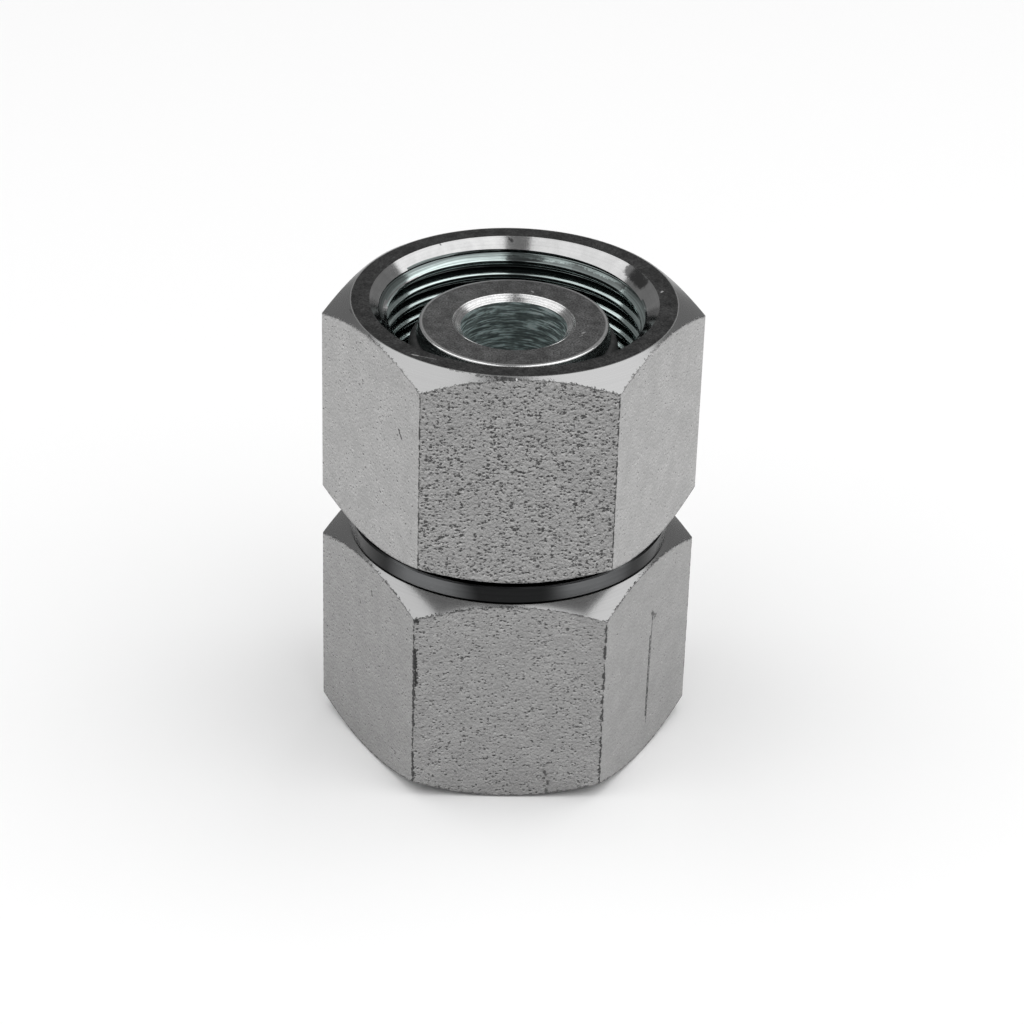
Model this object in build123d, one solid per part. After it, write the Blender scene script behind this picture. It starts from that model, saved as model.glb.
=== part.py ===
from build123d import *
import math
import os

# Straight union fitting: a turned nipple with a sealing cone at each end, and a
# hexagon swivel nut held on each neck by a round-wire ring.
# Millimetres. The origin is the middle of the lower nut's end face, which the
# fitting stands on. Z runs up the flow axis, and flats of the nuts face along Y.

# The tube that the fitting is made for, 18 mm outside
tube_radius = 9.0

# Nipple: sealing cones of 24 degrees in all, and the neck that the nuts turn on
nose_step = 0.15
nose_edge_radius = 0.2
cone_angle = 12.0
neck_step = 1.5
nipple_wall = 4.0
bore_mouth_flare = 0.8
bore_mouth_depth = 0.5
nipple_length = 42.5
collar_thickness = 1.8
collar_edge_break = 0.15

# O-ring in its groove in the cone
o_ring_section = 2.0
o_ring_seat_depth = 1.0
o_ring_groove_width = 2.4
o_ring_from_nose = 2.5

# Hexagon nut, 32 mm across flats, thread M26 x 1.5
nut_height = 22.25
thread_space = 2.5
thread_pitch = 1.5
thread_half_angle = 30.0
thread_depth_share = 5 / 8
thread_root_share = 1 / 8
thread_runout = 1.03
wall_at_flats = 3.0
corner_radius = 0.3
end_face_step = 0.25
chamfer_angle = 32.0
mouth_flare = 0.9
mouth_angle = 45.0
relief_depth = 0.25
relief_width = 2.5
back_wall = 5.6
hole_edge_break = 0.3

# Round-wire ring that snaps into the nut and stands in a deep groove of the neck
wire_diameter = 1.8
wire_in_nut = 0.75
ring_from_back_face = 2.8
ring_end_gap = 5.5

# Clearances
neck_clearance = 0.1
ring_clearance = 0.05
o_ring_clearance = 0.02
collar_clearance = 0.3
end_play = 0.25

# How the loose nuts stand at rest
rest_shift = 0.2
upper_nut_turn = 0.5
lower_nut_turn = -0.5

# Radii of the nipple
nose_radius = tube_radius + nose_step
neck_radius = tube_radius + neck_step
bore_radius = nose_radius - nipple_wall
bore_mouth_radius = bore_radius + bore_mouth_flare
o_ring_inner_radius = nose_radius - o_ring_seat_depth
o_ring_radius = o_ring_inner_radius + o_ring_section / 2

# Radii of the nut, and of the collar, which is turned to the same size as its end faces
thread_radius = neck_radius + thread_space
thread_triangle = thread_pitch / 2 / math.tan(math.radians(thread_half_angle))
thread_minor_radius = thread_radius - thread_depth_share * thread_triangle
relief_radius = thread_radius + relief_depth
mouth_radius = thread_radius + mouth_flare
mouth_depth = (mouth_radius - thread_minor_radius) / math.tan(math.radians(mouth_angle))
hole_radius = neck_radius + neck_clearance
across_flats = 2 * (thread_radius + wall_at_flats)
across_corners = across_flats / math.cos(math.radians(180 / 6))
end_face_radius = across_flats / 2 - end_face_step
collar_radius = end_face_radius

# The retaining ring and the groove for it in the neck
ring_radius = hole_radius + wire_in_nut - wire_diameter / 2
ring_groove_floor = hole_radius - wire_diameter - ring_clearance
half_length = nipple_length / 2
half_collar = collar_thickness / 2
ring_groove_middle = half_collar + collar_clearance + ring_from_back_face
ring_groove_half_width = wire_diameter / 2 + end_play

# Heights in the standing fitting
lower_nut_back = nut_height
collar_middle = lower_nut_back + collar_clearance - rest_shift + half_collar
upper_nut_back = collar_middle + half_collar + collar_clearance + rest_shift


def turned(outline):
    """Turns a closed outline of (radius, height) points about the Z axis."""
    face = make_face(Polyline(*outline, close=True))
    return revolve(Plane.XZ * face, axis=Axis.Z)


def circles_of(solid, radius):
    """Picks the circular edges of a solid that have the given radius."""
    circles = solid.edges().filter_by(GeomType.CIRCLE)
    return circles.filter_by(lambda edge: math.isclose(edge.radius, radius, abs_tol=1e-4))


def cone_radius(from_nose):
    """Radius of the sealing cone at a distance behind its nose."""
    return nose_radius + from_nose * math.tan(math.radians(cone_angle))


def make_thread_groove():
    """The helical groove of the right-hand thread, from inside the relief to past the end face.

    Its section is the thread's V, cut off at the root. It reaches halfway into the tips that
    the crests lack, so it begins in the open bore. It follows the helix by half turns.
    """
    slope = math.tan(math.radians(thread_half_angle))
    crest_cut = (1 - thread_root_share - thread_depth_share) * thread_triangle
    inner_radius = thread_minor_radius - crest_cut / 2
    root_half_width = thread_root_share * thread_pitch / 2
    inner_half_width = root_half_width + (thread_radius - inner_radius) * slope
    start = back_wall + relief_width - thread_runout
    half_turns = 2 * math.ceil((nut_height - start) / thread_pitch)
    half_turn = Helix(thread_pitch, thread_pitch / 2, thread_minor_radius)
    path = Wire([
        (Pos(0, 0, step * thread_pitch / 2) * Rot(0, 0, 180 * step) * half_turn).edge()
        for step in range(half_turns)
    ])
    section = make_face(Polyline(
        (inner_radius - thread_minor_radius, -inner_half_width),
        (thread_radius - thread_minor_radius, -root_half_width),
        (thread_radius - thread_minor_radius, root_half_width),
        (inner_radius - thread_minor_radius, inner_half_width),
        close=True,
    ))
    across_path = Plane(half_turn @ 0, x_dir=(1, 0, 0), z_dir=half_turn % 0)
    return Pos(0, 0, start) * sweep(across_path * section, path, is_frenet=True)


def make_nut():
    """One swivel nut with its back face on Z = 0 and its open end up."""
    bar = extrude(RegularPolygon(across_flats / 2, 6, major_radius=False), nut_height)
    bar = fillet(bar.edges().filter_by(Axis.Z), corner_radius)
    # The chamfer cones run out just past the corners of the bar
    corner_reach = across_corners / 2 + corner_radius
    chamfer_rise = (corner_reach - end_face_radius) * math.tan(math.radians(chamfer_angle))
    envelope = turned([
        (0, 0),
        (end_face_radius, 0),
        (corner_reach, chamfer_rise),
        (corner_reach, nut_height - chamfer_rise),
        (end_face_radius, nut_height),
        (0, nut_height),
    ])
    cavity = turned([
        (0, 0),
        (hole_radius + hole_edge_break, 0),
        (hole_radius, hole_edge_break),
        (hole_radius, back_wall),
        (relief_radius, back_wall),
        (relief_radius, back_wall + relief_width),
        (thread_minor_radius, back_wall + relief_width),
        (thread_minor_radius, nut_height - mouth_depth),
        (mouth_radius, nut_height),
        (0, nut_height),
    ])
    wire_groove = Pos(0, 0, ring_from_back_face) * Torus(ring_radius, wire_diameter / 2 + ring_clearance)
    return (bar & envelope) - cavity - wire_groove - make_thread_groove()


def make_nipple():
    """The turned nipple, centred on its collar: the same end up and down."""
    groove_top = o_ring_from_nose - o_ring_groove_width / 2
    groove_bottom = o_ring_from_nose + o_ring_groove_width / 2
    cone_length = (neck_radius - nose_radius) / math.tan(math.radians(cone_angle))
    upper_end = [
        (bore_radius, half_length - bore_mouth_depth),
        (bore_mouth_radius, half_length),
        (nose_radius, half_length),
        (cone_radius(groove_top), half_length - groove_top),
        (o_ring_inner_radius, half_length - groove_top),
        (o_ring_inner_radius, half_length - groove_bottom),
        (cone_radius(groove_bottom), half_length - groove_bottom),
        (neck_radius, half_length - cone_length),
        (neck_radius, ring_groove_middle + ring_groove_half_width),
        (ring_groove_floor, ring_groove_middle + ring_groove_half_width),
        (ring_groove_floor, ring_groove_middle - ring_groove_half_width),
        (neck_radius, ring_groove_middle - ring_groove_half_width),
        (neck_radius, half_collar),
        (collar_radius, half_collar),
    ]
    lower_end = [(radius, -height) for radius, height in reversed(upper_end)]
    body = turned(upper_end + lower_end)
    body = fillet(circles_of(body, nose_radius), nose_edge_radius)
    return chamfer(circles_of(body, collar_radius), collar_edge_break)


def make_o_ring():
    """One O-ring, stretched into its groove and centred on its own plane."""
    return Torus(o_ring_radius, o_ring_section / 2 - o_ring_clearance)


def make_wire_ring():
    """One split ring of round spring wire, centred on its own plane, with its gap to the back."""
    gap_angle = math.degrees(ring_end_gap / ring_radius)
    ring = Torus(ring_radius, wire_diameter / 2, major_angle=360 - gap_angle)
    return Rot(0, 0, 90 + gap_angle / 2) * ring


nut = make_nut()
o_ring = make_o_ring()
wire_ring = make_wire_ring()
o_ring_height = half_length - o_ring_from_nose

parts = {
    "nipple": Pos(0, 0, collar_middle) * make_nipple(),
    "upper_nut": Pos(0, 0, upper_nut_back) * Rot(0, 0, upper_nut_turn) * nut,
    "lower_nut": Pos(0, 0, lower_nut_back) * Rot(0, 0, lower_nut_turn) * Rot(180, 0, 0) * nut,
    "upper_o_ring": Pos(0, 0, collar_middle + o_ring_height) * o_ring,
    "lower_o_ring": Pos(0, 0, collar_middle - o_ring_height) * o_ring,
    "upper_retaining_ring": Pos(0, 0, upper_nut_back + ring_from_back_face) * wire_ring,
    "lower_retaining_ring": Pos(0, 0, lower_nut_back - ring_from_back_face) * wire_ring,
}

os.makedirs("parts", exist_ok=True)
for name, shape in parts.items():
    export_step(shape, f"parts/{name}.step")
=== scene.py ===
"""Straight union fitting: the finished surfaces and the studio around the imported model.

Sizes are in millimetres and become metres where a mesh or a lamp is made. Z runs up the
flow axis from the lower nut's end face, as in the model.
"""

import logging
import math
from dataclasses import dataclass, field
from enum import Enum, IntEnum

import bmesh
import bpy
import numpy as np
from mathutils import Matrix, Vector


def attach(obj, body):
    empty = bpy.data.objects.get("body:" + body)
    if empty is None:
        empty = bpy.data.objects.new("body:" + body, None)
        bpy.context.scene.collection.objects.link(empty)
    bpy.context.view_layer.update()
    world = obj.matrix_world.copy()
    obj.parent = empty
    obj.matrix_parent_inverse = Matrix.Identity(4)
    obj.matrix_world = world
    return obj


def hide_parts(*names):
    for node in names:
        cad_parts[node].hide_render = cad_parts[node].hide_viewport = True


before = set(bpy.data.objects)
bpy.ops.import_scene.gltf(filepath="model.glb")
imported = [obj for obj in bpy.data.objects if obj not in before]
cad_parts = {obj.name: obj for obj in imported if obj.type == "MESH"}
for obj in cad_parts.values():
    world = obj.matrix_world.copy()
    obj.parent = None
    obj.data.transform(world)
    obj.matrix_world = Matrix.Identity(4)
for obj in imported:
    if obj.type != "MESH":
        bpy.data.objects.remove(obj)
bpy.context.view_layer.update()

logging.basicConfig(level=logging.INFO, format="%(message)s")
log = logging.getLogger("straight_union")

Socket = bpy.types.NodeSocket
Material = bpy.types.Material

MM = 0.001
WELD = 1e-7
ON_CONE = 1e-6
SHARP_ANGLE = math.radians(27)
TURN = 2 * math.pi

# Ranges of a noise's values that the finishes read
ALL = (0.2, 0.8)
MOST = (0.25, 0.75)
MIDDLE = (0.3, 0.7)


# Surfaces


@dataclass
class Skin:
    """A surface under construction: rows of points across the same columns.

    Attributes:
        rows: Points in millimetres, one array of (rows, columns, 3) per strip.
        zones: The zone of the band of faces that follows each row.
        marks: Named values per point, for the finishes.
    """

    rows: np.ndarray
    zones: np.ndarray
    marks: dict[str, np.ndarray] = field(default_factory=dict)

    def mesh(self, name: str, close_columns: bool) -> bpy.types.Mesh:
        """Joins neighbouring rows and columns with quads, and welds what coincides.

        The last row is joined to the first, so that the surface closes on itself.

        Args:
            name: The mesh's name.
            close_columns: Whether the last column is joined to the first too.

        Returns:
            A closed mesh in metres, its faces' material indices set from the zones.
        """
        count, across = self.rows.shape[:2]
        row = np.arange(count)
        column = np.arange(across if close_columns else across - 1)
        here, right = np.meshgrid(row, column, indexing="ij")
        below, beside = (here + 1) % count, (right + 1) % across
        quads = np.stack(
            [here * across + right, here * across + beside,
             below * across + beside, below * across + right], axis=-1)
        zones = self.zones
        if zones.ndim == 1:
            zones = np.repeat(zones[:, None], across, axis=1)
        mesh = bpy.data.meshes.new(name)
        mesh.from_pydata(
            (self.rows.reshape(-1, 3) * MM).tolist(), [], quads.reshape(-1, 4).tolist())
        mesh.polygons.foreach_set(
            "material_index", zones[:, :len(column)].reshape(-1).astype(np.int32))
        for mark, values in self.marks.items():
            layer = mesh.attributes.new(mark, "FLOAT", "POINT")
            layer.data.foreach_set("value", values.reshape(-1).astype(np.float32))
        shell = bmesh.new()
        shell.from_mesh(mesh)
        bmesh.ops.remove_doubles(shell, verts=shell.verts, dist=WELD)
        bmesh.ops.recalc_face_normals(shell, faces=shell.faces)
        shell.to_mesh(mesh)
        shell.free()
        mesh.polygons.foreach_set("use_smooth", np.ones(len(mesh.polygons), bool))
        mesh.set_sharp_from_angle(angle=SHARP_ANGLE)
        return mesh


class Profile:
    """A closed outline around an axis, gathered as straight and curved runs.

    Each stop is a radius and a height, either numbers or one value per column, so that
    the outline may change on its way round.
    """

    def __init__(self, theta: np.ndarray) -> None:
        """Starts an empty outline.

        Args:
            theta: The angle of each column about the axis.
        """
        self.theta = theta
        self.radii: list[np.ndarray] = []
        self.heights: list[np.ndarray] = []
        self.zones: list[int] = []

    def run(self, start: tuple, end: tuple, zone: int, steps: int = 1) -> None:
        """Adds a straight run: start plus a share of the way to the end, without the end.

        Args:
            start: Radius and height of the first stop.
            end: Radius and height that the run leads to.
            zone: The zone of its faces.
            steps: The number of rows.
        """
        share = (np.arange(steps) / steps)[:, None]
        one = np.ones_like(self.theta)[None, :]
        self.radii.append(start[0] * one + (end[0] - start[0]) * share * one)
        self.heights.append(start[1] * one + (end[1] - start[1]) * share * one)
        self.zones += [zone] * steps

    def through(self, stops: list[tuple]) -> None:
        """Adds straight runs: each stop is a radius, a height, the zone after it and its rows."""
        for here, ahead in zip(stops, stops[1:]):
            self.run(here[:2], ahead[:2], *here[2:])

    def arc(self, centre: tuple, radius: float, start: float, end: float, zone: int,
            steps: int) -> None:
        """Adds a round run: centre plus radius times cosine and sine, without the end.

        Args:
            centre: Radius and height of the arc's centre.
            radius: The arc's own radius.
            start: First angle in degrees, from outwards towards up.
            end: Angle that the run leads to.
            zone: The zone of its faces.
            steps: The number of rows.
        """
        angle = np.radians(start + (end - start) * np.arange(steps) / steps)[:, None]
        one = np.ones_like(self.theta)[None, :]
        self.radii.append((centre[0] + radius * np.cos(angle)) * one)
        self.heights.append((centre[1] + radius * np.sin(angle)) * one)
        self.zones += [zone] * steps

    def rows(self, radii: np.ndarray, heights: np.ndarray, zone: int) -> None:
        """Adds rows that were worked out elsewhere."""
        self.radii.append(radii)
        self.heights.append(heights)
        self.zones += [zone] * len(radii)

    def points(self) -> tuple[np.ndarray, np.ndarray, np.ndarray]:
        """Stacks all runs.

        Returns:
            Radii and heights of shape (rows, columns), and the zone after each row.
        """
        return np.concatenate(self.radii), np.concatenate(self.heights), np.array(self.zones)


def turn_about_axis(radii: np.ndarray, heights: np.ndarray, theta: np.ndarray) -> np.ndarray:
    """Points of a turned surface: radius times cosine and sine of the angle, and height."""
    x, y = radii * np.cos(theta), radii * np.sin(theta)
    return np.stack([x, y, heights * np.ones_like(theta)], axis=-1)


# Finishes


class Recipe:
    """Writes one material's nodes in short steps. Values may be numbers or sockets."""

    def __init__(self, name: str) -> None:
        """Makes the material with an empty node tree.

        Args:
            name: The material's name.
        """
        self.material = bpy.data.materials.new(name)
        self.material.use_nodes = True
        self.tree = self.material.node_tree
        self.tree.nodes.clear()
        place = self.node("ShaderNodeTexCoord").outputs["Object"]
        self.place = self.scaled(place, (1 / MM,) * 3)
        self.x, self.y, self.z = self.split(self.place)

    def node(self, kind: str, inputs: dict | tuple = (), **settings: object) -> bpy.types.Node:
        """Adds a node.

        Args:
            kind: Its type.
            inputs: Values or sockets for its inputs, in order or by name or number.
            settings: Its properties.

        Returns:
            The node.
        """
        made = self.tree.nodes.new(kind)
        for name, value in settings.items():
            setattr(made, name, value)
        for key, value in inputs.items() if isinstance(inputs, dict) else enumerate(inputs):
            if isinstance(value, Socket):
                self.tree.links.new(value, made.inputs[key])
            else:
                made.inputs[key].default_value = value
        return made

    def vectors(self, operation: str, *values: object) -> bpy.types.Node:
        """One sum of up to three vectors."""
        return self.node("ShaderNodeVectorMath", values, operation=operation)

    def scaled(self, vector: object, factors: tuple[float, float, float]) -> Socket:
        """A vector with each part multiplied by its own factor."""
        return self.vectors("MULTIPLY", vector, factors).outputs[0]

    def moved(self, vector: object, step: tuple[float, float, float]) -> Socket:
        """A vector with a fixed step added."""
        return self.vectors("ADD", vector, step).outputs[0]

    def split(self, vector: object) -> tuple:
        """The three parts of a vector."""
        return tuple(self.node("ShaderNodeSeparateXYZ", (vector,)).outputs)

    def join(self, x: object, y: object, z: object) -> Socket:
        """A vector of three values."""
        return self.node("ShaderNodeCombineXYZ", (x, y, z)).outputs[0]

    def maths(self, operation: str, *values: object) -> Socket:
        """One sum of up to three values."""
        return self.node("ShaderNodeMath", values, operation=operation).outputs[0]

    def times(self, first: object, second: object) -> Socket:
        """One value times another."""
        return self.maths("MULTIPLY", first, second)

    def plus(self, first: object, second: object) -> Socket:
        """The sum of two values."""
        return self.maths("ADD", first, second)

    def less(self, first: object, second: object) -> Socket:
        """One value less another."""
        return self.maths("SUBTRACT", first, second)

    def most(self, first: object, *others: object) -> Socket:
        """The greatest of some values."""
        for value in others:
            first = self.maths("MAXIMUM", first, value)
        return first

    def fade(self, value: object, low: float, high: float, to_low: float = 0.0,
             to_high: float = 1.0) -> Socket:
        """A smooth step of a value from low to high, between two results."""
        inputs = (value, low, high, to_low, to_high)
        return self.node("ShaderNodeMapRange", inputs, interpolation_type="SMOOTHSTEP").outputs[0]

    def noise(self, vector: object, scale: float, detail: float = 2.0,
              roughness: float = 0.5) -> Socket:
        """Smooth noise of about 0 to 1, its grains one over the scale in millimetres."""
        inputs = {"Vector": vector, "Scale": scale, "Detail": detail, "Roughness": roughness}
        return self.node("ShaderNodeTexNoise", inputs).outputs["Fac"]

    def mark(self, name: str) -> Socket:
        """The piece's own value of that name."""
        return self.node("ShaderNodeAttribute", attribute_name=name).outputs["Fac"]

    def warped(self, vector: object, scale: float, amount: float) -> Socket:
        """A vector pushed about by a noise, by up to half the amount."""
        noise = self.node("ShaderNodeTexNoise", {"Vector": vector, "Scale": scale})
        centred = self.moved(vector, (-amount / 2,) * 3)
        push = self.vectors("MULTIPLY_ADD", noise.outputs["Color"], (amount,) * 3, centred)
        return push.outputs[0]

    def pits(self, vector: object, scale: float, size: object, rarity: float) -> Socket:
        """How far a point lies inside the nearest of some scattered pits of random size.

        Each cell of a Voronoi pattern has one pit at its seed, and the value is the pit's
        radius less the distance from the seed.

        Args:
            vector: The place.
            scale: Cells per millimetre.
            size: The largest radius, as a share of a cell.
            rarity: Power of the random size, above 1 for fewer large pits.

        Returns:
            The depth inside, negative outside all pits.
        """
        inputs = {"Vector": vector, "Scale": scale}
        cell = self.node("ShaderNodeTexVoronoi", inputs, feature="F1")
        chance = self.maths("POWER", self.split(cell.outputs["Color"])[0], rarity)
        return self.maths("MULTIPLY_ADD", chance, size, self.times(cell.outputs["Distance"], -1.0))

    def shaded(self, colour: object, level: object) -> Socket:
        """A colour times a level."""
        inputs = {0: colour[:3] if isinstance(colour, tuple) else colour, "Scale": level}
        return self.node("ShaderNodeVectorMath", inputs, operation="SCALE").outputs[0]

    def radius(self) -> Socket:
        """Distance from the axis, in millimetres."""
        return self.maths("SQRT", self.plus(self.times(self.x, self.x), self.times(self.y, self.y)))

    def blend(self, share: object, first: object, second: object) -> Socket:
        """A colour between two, by a share from 0 to 1."""
        inputs = {0: share, 6: first, 7: second}
        return self.node("ShaderNodeMix", inputs, data_type="RGBA").outputs[2]

    def mixed(self, share: object, first: object, second: object) -> Socket:
        """A number between two, by a share from 0 to 1."""
        inputs = {0: share, 2: first, 3: second}
        return self.node("ShaderNodeMix", inputs, data_type="FLOAT").outputs[0]

    def bump(self, height: object, depth: float, under: object = None) -> Socket:
        """A surface relief.

        Args:
            height: Relief from 0 to 1.
            depth: What 1 stands for, in millimetres.
            under: Another relief that this one lies on.

        Returns:
            The normal.
        """
        inputs = {"Strength": 1.0, "Distance": depth * MM, "Height": height}
        if under is not None:
            inputs["Normal"] = under
        return self.node("ShaderNodeBump", inputs).outputs[0]

    def surface(self, colour: object, roughness: object, metal: float,
                normal: object = None) -> Material:
        """Ends the recipe with the surface shader.

        Args:
            colour: Base colour.
            roughness: Roughness.
            metal: 1 for bare or plated metal, 0 for rubber and paint.
            normal: Relief, if there is one.

        Returns:
            The finished material.
        """
        inputs = {"Base Color": colour, "Roughness": roughness, "Metallic": metal}
        if normal is not None:
            inputs["Normal"] = normal
        shader = self.node("ShaderNodeBsdfPrincipled", inputs)
        self.node("ShaderNodeOutputMaterial", {"Surface": shader.outputs[0]})
        return self.material


def grey(level: float, warmth: float = 0.0) -> tuple[float, float, float, float]:
    """A grey, with its red raised and its blue lowered by a warmth of either sign."""
    return (level * (1 + warmth), level, level * (1 - warmth), 1.0)


# Where a scar's edge starts and ends, in half widths, and how far noise of 1 moves it
SCAR_EDGE = (1.1, 0.6)
SCAR_SWAY = 3


@dataclass(frozen=True)
class Scar:
    """A nick, seam, chip or smear, or a painted dark reflection: the space round a short line, with
    a torn edge.

    Attributes:
        start: One end of the line, in millimetres in the fitting.
        end: Its other end.
        half_width: Distance from the line that the scar covers.
        depth: 1 for a black nick or painted dark reflection, less for a fainter one, negative for a
            bright burr.
        torn: How far noise moves its edge, as a share of the half width.
    """

    start: tuple[float, float, float]
    end: tuple[float, float, float]
    half_width: float
    depth: float
    torn: float = 0.8

    def share(self, recipe: Recipe, ragged: object) -> Socket:
        """How much of the scar is at a point.

        The nearest point of the line is its start plus a clamped share of its length. The
        share falls from 1 to 0 where the distance from there passes the half width.

        Args:
            recipe: The material's recipe.
            ragged: A noise around zero that tears the edge.

        Returns:
            The share, times the depth.
        """
        start, end = Vector(self.start), Vector(self.end)
        run = end - start
        offset = recipe.moved(recipe.place, tuple(-start))
        share = tuple(run / max(run.length_squared, WELD))
        along = recipe.vectors("DOT_PRODUCT", offset, share).outputs["Value"]
        along = recipe.node("ShaderNodeClamp", (along,)).outputs[0]
        apart = recipe.vectors("DISTANCE", offset, recipe.shaded((*run, 1.0), along))
        sway = self.half_width * self.torn * SCAR_SWAY
        reach = recipe.maths("MULTIPLY_ADD", ragged, sway, apart.outputs["Value"])
        outer, inner = (self.half_width * share for share in SCAR_EDGE)
        return recipe.fade(reach, outer, inner, 0.0, self.depth)


def scarred(recipe: Recipe, scars: tuple[Scar, ...]) -> tuple[object, object]:
    """Gathers a surface's scars.

    Args:
        recipe: The material's recipe.
        scars: The scars.

    Returns:
        How deep the hollows and the painted dark reflections are, and how bright the burrs are,
        both from 0 to 1.
    """
    hollows_and_reflections, burr = 0.0, 0.0
    if not scars:
        return hollows_and_reflections, burr
    ragged = recipe.less(recipe.noise(recipe.place, 4.0, 3.0, 0.65), 0.5)
    for scar in scars:
        share = scar.share(recipe, ragged)
        if scar.depth > 0:
            hollows_and_reflections = recipe.most(hollows_and_reflections, share)
        else:
            burr = recipe.most(burr, recipe.times(share, -1.0))
    return hollows_and_reflections, burr


@dataclass(frozen=True)
class RolledHexagon:
    """Zinc on rolled bar: pitted flats, chamfers turned smooth, and cracked corners.

    A pair of values is for a flat with no pits and for the most pitted flat.

    Attributes:
        pit_sizes: Largest radius of a pit, as a share of a cell of the pattern.
        lip_highlight: How much paler a pit's lower lip is painted, as a painted highlight where the
            lip faces up.
        swell_light: How far the gentle swell of the flats lightens and darkens them.
        tear: How far noise moves the border of flat and chamfer, in millimetres.
        crack_width: Width of the cracks along the corners, in millimetres.
        edge_line: How dark the torn line between flat and chamfer is.
        scars: Single marks.
    """

    smooth_level: float = 0.50
    coarse_shaded_level: float = 0.35
    chamfer_level: float = 0.32
    chamfer_roughness: float = 0.22
    flat_roughness: float = 0.52
    pits_per_mm: float = 3.0
    pit_sizes: tuple[float, float] = (0.24, 0.70)
    pit_shade: tuple[float, float] = (0.80, 0.84)
    pit_depth: float = 0.05
    lip_highlight: float = 0.36
    rim_highlight: float = 0.07
    swell_light: tuple[float, float] = (0.05, 0.22)
    grain_depth: float = 0.02
    tear: float = 0.75
    crack_width: float = 0.12
    crack_darkness: float = 0.85
    edge_line: float = 0.6
    scars: tuple[Scar, ...] = ()

    def swell(self, recipe: Recipe, coarse_and_shade: object) -> Socket:
        """Light on the slopes of a smooth noise: its value here less that a step higher up."""
        here = recipe.noise(recipe.place, 3.3, 2.0, 0.6)
        above = recipe.noise(recipe.moved(recipe.place, (0, 0, 0.13)), 3.3, 2.0, 0.6)
        slope = recipe.fade(recipe.less(here, above), -0.16, 0.16, -1.0, 1.0)
        return recipe.times(slope, recipe.mixed(coarse_and_shade, *self.swell_light))

    def pitting(self, recipe: Recipe, coarse_and_shade: object, mottle: object) -> tuple:
        """Scattered pits, wider than they are high, and larger where the flat is coarser.

        A pit's floor is painted dark, as painted shade in the pit. Its lower lip, which is where
        a point a step higher up lies in a pit, is painted bright, as a painted highlight.

        Args:
            recipe: The material's recipe.
            coarse_and_shade: How pitted the flat is, which also sets how dark the pits' painted
                shade is.
            mottle: A slow noise that varies the pits' size.

        Returns:
            How deep a point lies, how dark its painted shade is, and how much paler its painted
            highlight makes it than the flat.
        """
        place = recipe.warped(recipe.scaled(recipe.place, (1.0, 1.0, 1.5)), 3.2, 0.55)
        size = recipe.times(recipe.mixed(coarse_and_shade, *self.pit_sizes),
                            recipe.fade(mottle, *MIDDLE, 0.8, 1.15))
        inside = recipe.pits(place, self.pits_per_mm, size, 1.1)
        above = recipe.pits(recipe.moved(place, (0, 0, 0.16)), self.pits_per_mm, size, 1.1)
        depth = recipe.fade(inside, -0.10, 0.16)
        # Painted shade: the pit's floor is darkened, as shade in the pit.
        dark = recipe.times(recipe.fade(inside, -0.08, 0.24),
                            recipe.mixed(coarse_and_shade, *self.pit_shade))
        # Painted highlight: the lower lip, which faces up, and a narrow rim round the pit are
        # lightened.
        wall = recipe.less(recipe.fade(above, -0.06, 0.12), recipe.fade(inside, -0.10, 0.08))
        lip = recipe.times(recipe.most(wall, 0.0), self.lip_highlight)
        from_rim = recipe.maths("ABSOLUTE", recipe.plus(inside, 0.13))
        rim = recipe.fade(from_rim, 0.10, 0.0, 0.0, self.rim_highlight)
        return depth, dark, recipe.plus(lip, rim)

    def border(self, recipe: Recipe) -> tuple:
        """The border of flat and chamfer, which is where the torn reach falls below zero.

        Args:
            recipe: The material's recipe.

        Returns:
            1 on the flat and 0 on the chamfer, and the broken dark line along the border.
        """
        ragged = recipe.less(recipe.noise(recipe.place, 3.4, 3.0, 0.65), 0.5)
        torn = recipe.maths("MULTIPLY_ADD", ragged, self.tear, recipe.mark("reach"))
        flat = recipe.fade(torn, -0.015, 0.02)
        broken = recipe.fade(recipe.noise(recipe.place, 2.2, 2.0), 0.34, 0.55)
        return flat, recipe.times(recipe.times(flat, recipe.fade(torn, 0.17, 0.04)), broken)

    def cracks(self, recipe: Recipe) -> Socket:
        """Cracks along the corners, as wide as a noise says."""
        noise = recipe.noise(recipe.scaled(recipe.place, (1.0, 1.0, 0.8)), 1.9, 3.0, 0.7)
        width = recipe.fade(noise, 0.32, 0.68, -0.03, self.crack_width)
        return recipe.fade(recipe.less(width, recipe.mark("corner")), -0.02, 0.03)

    def material(self, name: str) -> Material:
        """Grain, swell, pits and scars on the flats, and fine rings on the chamfers."""
        recipe = Recipe(name)
        coarse_and_shade = recipe.mark("coarse_and_shade")
        mottle = recipe.noise(recipe.place, 0.45, 3.0, 0.6)
        grain = recipe.noise(recipe.scaled(recipe.place, (1.0, 1.0, 1.25)), 7.5, 3.0, 0.7)
        hollows_and_reflections, burr = scarred(recipe, self.scars)
        pit, pit_floor_shade, pit_highlights = self.pitting(recipe, coarse_and_shade, mottle)
        flat, edge = self.border(recipe)
        crack = self.cracks(recipe)
        # The pits' painted shade joins the real dark marks here: the border line, the cracks and
        # the scars.
        dark = recipe.most(pit_floor_shade, recipe.times(edge, self.edge_line),
                           recipe.times(crack, self.crack_darkness), hollows_and_reflections)
        # The pits' painted highlights lighten the grain's tone.
        shade = recipe.plus(recipe.fade(grain, *MOST, 0.80, 1.18), pit_highlights)
        shade = recipe.plus(shade, self.swell(recipe, coarse_and_shade))
        shade = recipe.times(shade, recipe.fade(mottle, *MOST, 0.93, 1.06))
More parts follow.
